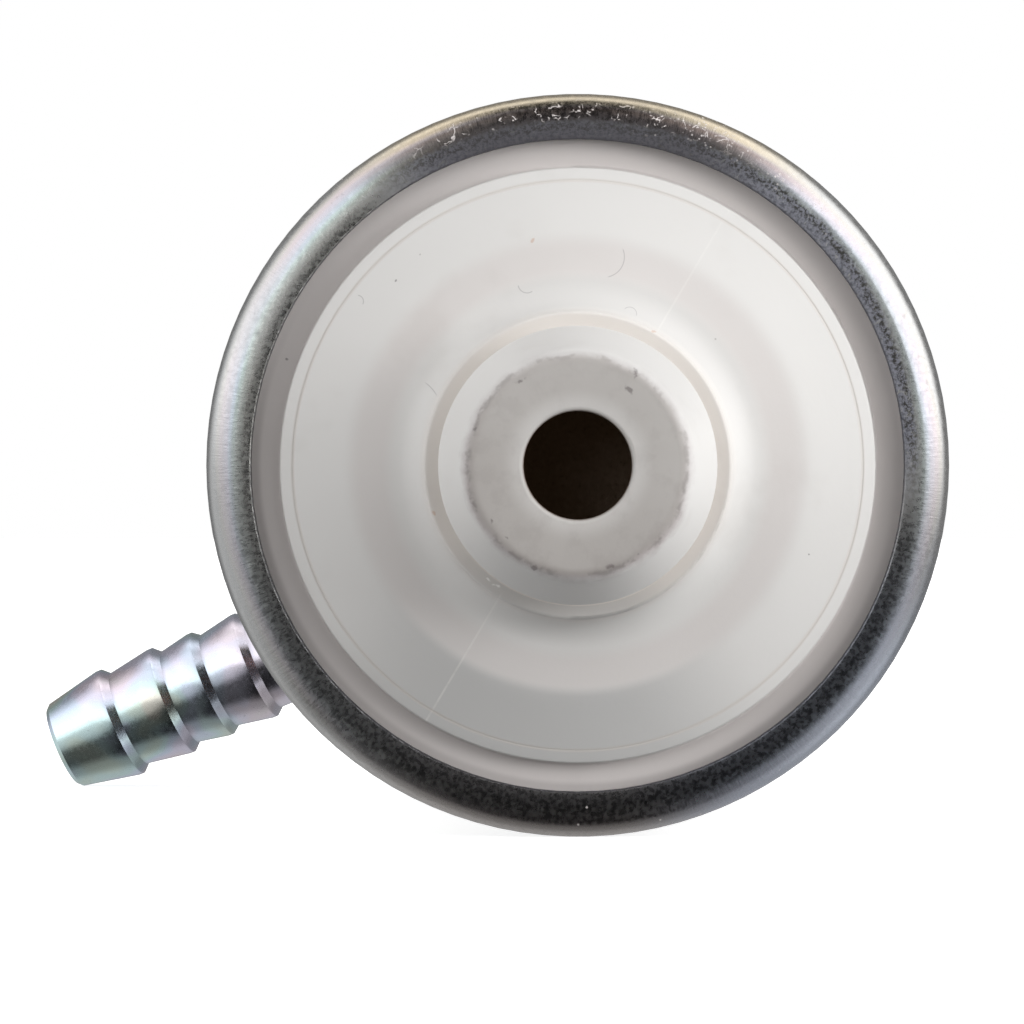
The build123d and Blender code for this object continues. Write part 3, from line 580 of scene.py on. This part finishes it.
mild = metal("mild_steel", (0.46, 0.46, 0.47), (0.30, 0.28, 0.27), (0.30, 0.48), (600.0, 3000.0, 600.0))
springy = metal("spring_steel", (0.52, 0.52, 0.54), (0.36, 0.35, 0.36), (0.22, 0.36))
ferrite = plastic("ferrite", (0.030, 0.030, 0.033), (0.055, 0.054, 0.056), (0.45, 0.65), 2600.0, 0.00004)
carbon = plastic("carbon", (0.020, 0.020, 0.021), (0.045, 0.044, 0.044), (0.35, 0.5), 3000.0, 0.00003)
insul = plastic("insulation", (0.30, 0.045, 0.022), (0.22, 0.035, 0.018), (0.32, 0.45))
core = laminated("core_steel")
wire = wound("winding_wire")

wear(["inlet_cover"], white)
wear(["casing_tube"], rim_zinc)
wear(["outlet_banjo"], part_zinc)
wear(["cap_nut", "valve_body", "stud_m5", "stud_m4", "flat_washer_m5", "flat_washer_m4",
      "spring_washer_m5", "spring_washer_m4"], nut_zinc)
wear(["outlet_cover"], black)
wear(["inlet_seal", "outlet_seal", "terminal_seals"], rubber)
wear(["valve_washer", "banjo_washer_lower", "banjo_washer_upper", "commutator_segments",
      "brush_lead_right", "brush_lead_left"], copper)
wear(["nuts_m5", "nuts_m4", "brush_guide_right", "brush_guide_left", "check_spring_stop",
      "relief_spring_stop", "front_thrust_washer", "rear_thrust_washer"], brass)
wear(["front_bush", "rear_bush"], bronze)
wear(["shaft", "spacer_sleeve", "pump_screws", "relief_ball", "check_ball"], ground)
wear(["intake_plate"], stained)
wear(["pump_ring", "discharge_plate", "inner_rotor", "outer_rotor"], sinter)
wear(["flux_ring"], mild)
wear(["relief_spring", "check_spring", "brush_spring_right", "brush_spring_left",
      "magnet_clip_top", "magnet_clip_bottom"], springy)
wear(["magnet_right", "magnet_left"], ferrite)
wear(["brush_right", "brush_left"], carbon)
wear(["commutator_hub", "front_insulator", "rear_insulator"], insul)
wear(["armature_core"], core)
wear(["winding"], wire)


# ------------------------------------------------------------------ springs and leads get meshes of their own
def follow(node):
    """Gives the piece a mesh of its own."""
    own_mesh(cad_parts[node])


follow("check_spring")
follow("relief_spring")
for side in ("right", "left"):
    follow("brush_spring_" + side)
    follow("brush_lead_" + side)


# ------------------------------------------------------------------ floor, backdrop, light
def add_mesh(name, verts, faces, mat=None, smooth=True):
    me = bpy.data.meshes.new(name)
    me.from_pydata(verts, [], faces)
    me.update()
    if smooth:
        me.polygons.foreach_set("use_smooth", [True] * len(me.polygons))
    ob = bpy.data.objects.new(name, me)
    scene.collection.objects.link(ob)
    if mat:
        me.materials.append(mat)
    return ob


floor_z = -0.0260
fm, g, b = material("floor_paint")
vec, x, y, z = g.coords()
g.l.new(g.mix(g.noise(vec, 6.0), (0.86, 0.86, 0.86), (0.88, 0.88, 0.88)), b.inputs["Base Color"])
b.inputs["Roughness"].default_value = 0.9
b.inputs["Specular IOR Level"].default_value = 0.0
b.inputs["Emission Color"].default_value = (1.0, 1.0, 1.0, 1.0)
b.inputs["Emission Strength"].default_value = 0.74
N = 96
R = 3.0
fv = [(0.0, 0.0, floor_z)] + [(R * math.cos(2 * math.pi * i / N), R * math.sin(2 * math.pi * i / N), floor_z) for i in range(N)]
ff = [(0, 1 + i, 1 + (i + 1) % N) for i in range(N)]
floor = add_mesh("floor", fv, ff, fm, False)
floor.visible_glossy = False
floor.visible_diffuse = False

# pale surround, seen only by the camera
dm = bpy.data.materials.new("surround")
dm.use_nodes = True
dm.node_tree.nodes.clear()
g = Net(dm.node_tree)
o = g.node("ShaderNodeOutputMaterial")
e = g.node("ShaderNodeEmission")
e.inputs["Color"].default_value = (1.0, 1.0, 1.0, 1.0)
e.inputs["Strength"].default_value = 1.0
g.l.new(e.outputs[0], o.inputs[0])
dv, df = [], []
rings, segs = 16, 48
for i in range(rings + 1):
    t = math.pi * i / rings
    for j in range(segs):
        p = 2 * math.pi * j / segs
        dv.append((2.95 * math.sin(t) * math.cos(p), 2.95 * math.sin(t) * math.sin(p), 2.95 * math.cos(t)))
for i in range(rings):
    for j in range(segs):
        df.append((i * segs + j, i * segs + (j + 1) % segs, (i + 1) * segs + (j + 1) % segs, (i + 1) * segs + j))
dome = add_mesh("surround", dv, df, dm)
dome.visible_diffuse = dome.visible_glossy = dome.visible_transmission = False
dome.visible_volume_scatter = dome.visible_shadow = False

# soft studio light: broad panels right, left and above, painted on the surroundings
world = bpy.data.worlds.new("studio")
scene.world = world
world.use_nodes = True
world.node_tree.nodes.clear()
g = Net(world.node_tree)
wo = g.node("ShaderNodeOutputWorld")
bg = g.node("ShaderNodeBackground")
tc = g.node("ShaderNodeTexCoord")
sep = g.node("ShaderNodeSeparateXYZ")
g.l.new(tc.outputs["Generated"], sep.inputs[0])
dx, dy, dz = sep.outputs
theta = g.math("DEGREES", g.math("ARCCOSINE", g.math("MULTIPLY", dy, -1.0)))
rad = g.math("SQRT", g.math("ADD", g.math("MULTIPLY", dx, dx), g.math("MULTIPLY", dz, dz)))
rad = g.math("MAXIMUM", rad, 0.0001)


def panel(centre, half, soft, t0, t1, t2, t3, value):
    """Light panel: round the pump axis from centre-half to centre+half degrees, and from t0..t3 off the inlet side."""
    c = math.radians(centre)
    d = g.math("DIVIDE", g.math("ADD", g.math("MULTIPLY", dx, math.cos(c)), g.math("MULTIPLY", dz, math.sin(c))), rad)
    if half >= 180:
        w = 1.0
    else:
        w = g.ramp(d, math.cos(math.radians(min(180, half + soft))), math.cos(math.radians(max(0, half - soft))))
    a_ = g.math("MULTIPLY", g.ramp(theta, t0, t1), g.ramp(theta, t3, t2))
    return g.math("MULTIPLY", g.math("MULTIPLY", a_, w), value)


total = 0.01
parts = [
    panel(34, 34, 14, 12, 31, 92, 120, 1.56),      # right and upper right
    panel(-10, 34, 18, 14, 42, 96, 120, 0.34),      # right, a little lower
    panel(142, 32, 8, 0, 22, 84, 122, 1.08),       # upper left
    panel(181, 26, 18, 0, 54, 100, 140, 0.67),     # left
    panel(315, 18, 14, 26, 50, 94, 120, 0.26),     # lower right
    panel(228, 20, 16, 14, 70, 120, 150, 0.085),    # lower left
    panel(90, 32, 14, 94, 106, 110, 132, 1.05),    # above, just behind
    panel(0, 180, 0, 92, 122, 190, 200, 0.24),     # pale surroundings behind
    panel(272, 50, 20, 66, 86, 150, 175, 0.23),    # pale table behind
]
for p in parts:
    total = g.math("ADD", total, p)
g.l.new(total, bg.inputs["Strength"])
bg.inputs["Color"].default_value = (1.0, 1.0, 1.0, 1.0)
g.l.new(bg.outputs[0], wo.inputs[0])

key_data = bpy.data.lights.new("key", "AREA")
key_data.shape = "DISK"
key_data.size = 0.55
key_data.energy = 4.2
key = bpy.data.objects.new("key", key_data)
scene.collection.objects.link(key)
key.location = (0.84, -0.53, 0.10)
key.rotation_euler = (Vector((0, 0, 0)) - key.location).to_track_quat("-Z", "Y").to_euler()
key.visible_camera = False
key.visible_glossy = False
